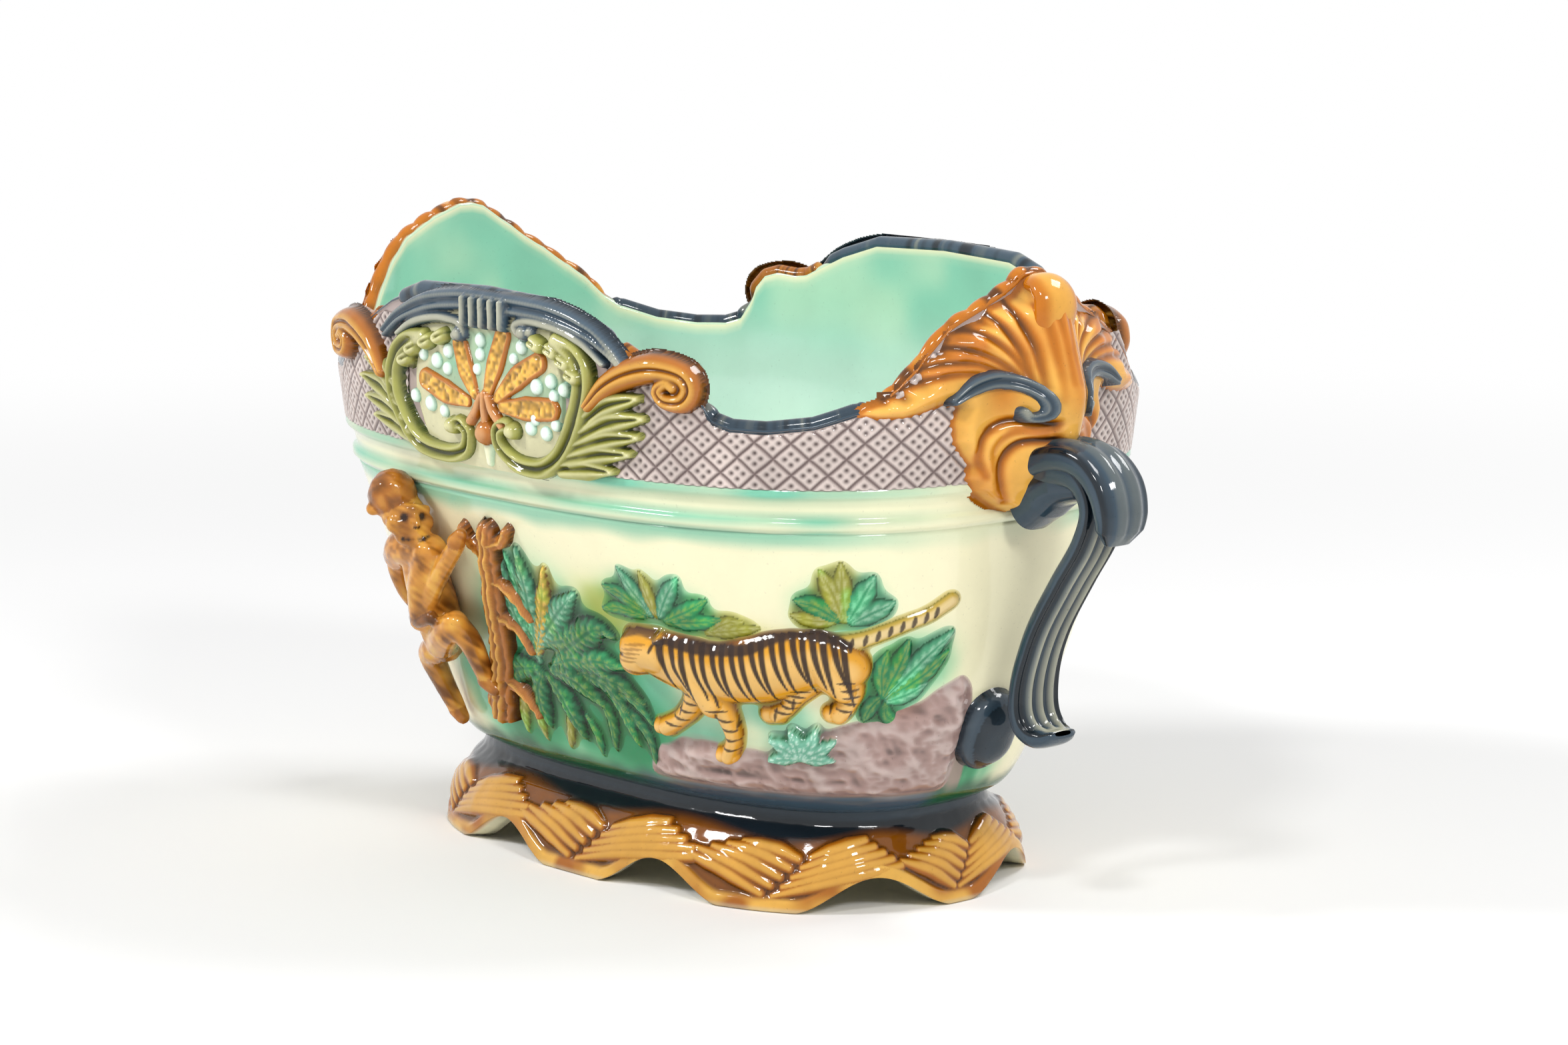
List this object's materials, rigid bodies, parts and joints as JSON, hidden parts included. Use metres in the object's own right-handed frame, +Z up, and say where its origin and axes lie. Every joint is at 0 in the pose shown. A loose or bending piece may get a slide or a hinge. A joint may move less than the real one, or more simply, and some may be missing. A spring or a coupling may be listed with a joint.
{
  "type": "oval jardiniere planter",
  "caption": "Oval glazed majolica table planter with shaped rim, scroll handles, cartouche, animal relief and a scalloped hollow foot; holds a pot or flowers.",
  "frame": {"origin": "centre of the footprint, on the ground plane that the feet stand on", "axes": "+X along the long side to the right handle, +Y to the back, +Z up"},
  "size_m": [0.4536, 0.2774, 0.243],
  "materials": {
    "cream_turquoise_glaze": "gloss",
    "brown_blue_glaze": "gloss",
    "slate_blue_glaze": "gloss",
    "honey_brown_glaze": "gloss",
    "yellow_green_glaze": "gloss",
    "pale_turquoise_glaze": "gloss",
    "amber_striped_glaze": "gloss",
    "dark_brown_glaze": "gloss",
    "leaf_green_glaze": "gloss",
    "mauve_rock_glaze": "gloss"
  },
  "bodies": {
    "root": {"acanthus_back_left": "yellow_green_glaze", "acanthus_back_right": "yellow_green_glaze", "acanthus_front_left": "yellow_green_glaze", "acanthus_front_right": "yellow_green_glaze", "bush_back": "leaf_green_glaze", "bush_front": "leaf_green_glaze", "cartouche_frame_back": "slate_blue_glaze", "cartouche_frame_front": "slate_blue_glaze", "end_leaf_left": "honey_brown_glaze", "end_leaf_right": "honey_brown_glaze", "fern_back": "leaf_green_glaze", "fern_front": "leaf_green_glaze", "foot": "brown_blue_glaze", "handle_boss_left": "slate_blue_glaze", "handle_boss_right": "slate_blue_glaze", "handle_left": "slate_blue_glaze", "handle_right": "slate_blue_glaze", "leaf_scroll_left_back": "slate_blue_glaze", "leaf_scroll_left_front": "slate_blue_glaze", "leaf_scroll_right_back": "slate_blue_glaze", "leaf_scroll_right_front": "slate_blue_glaze", "monkey_back": "dark_brown_glaze", "monkey_front": "dark_brown_glaze", "palm_back": "leaf_green_glaze", "palm_front": "leaf_green_glaze", "palmette_back": "honey_brown_glaze", "palmette_front": "honey_brown_glaze", "pearls_back": "pale_turquoise_glaze", "pearls_front": "pale_turquoise_glaze", "rim_bead_back_left": "slate_blue_glaze", "rim_bead_back_right": "slate_blue_glaze", "rim_bead_front_left": "slate_blue_glaze", "rim_bead_front_right": "slate_blue_glaze", "rocks_back": "mauve_rock_glaze", "rocks_front": "mauve_rock_glaze", "stump_back": "dark_brown_glaze", "stump_front": "dark_brown_glaze", "tiger_back": "amber_striped_glaze", "tiger_front": "amber_striped_glaze", "vessel": "cream_turquoise_glaze", "volute_back_left": "honey_brown_glaze", "volute_back_right": "honey_brown_glaze", "volute_front_left": "honey_brown_glaze", "volute_front_right": "honey_brown_glaze"}
  },
  "joints": []
}
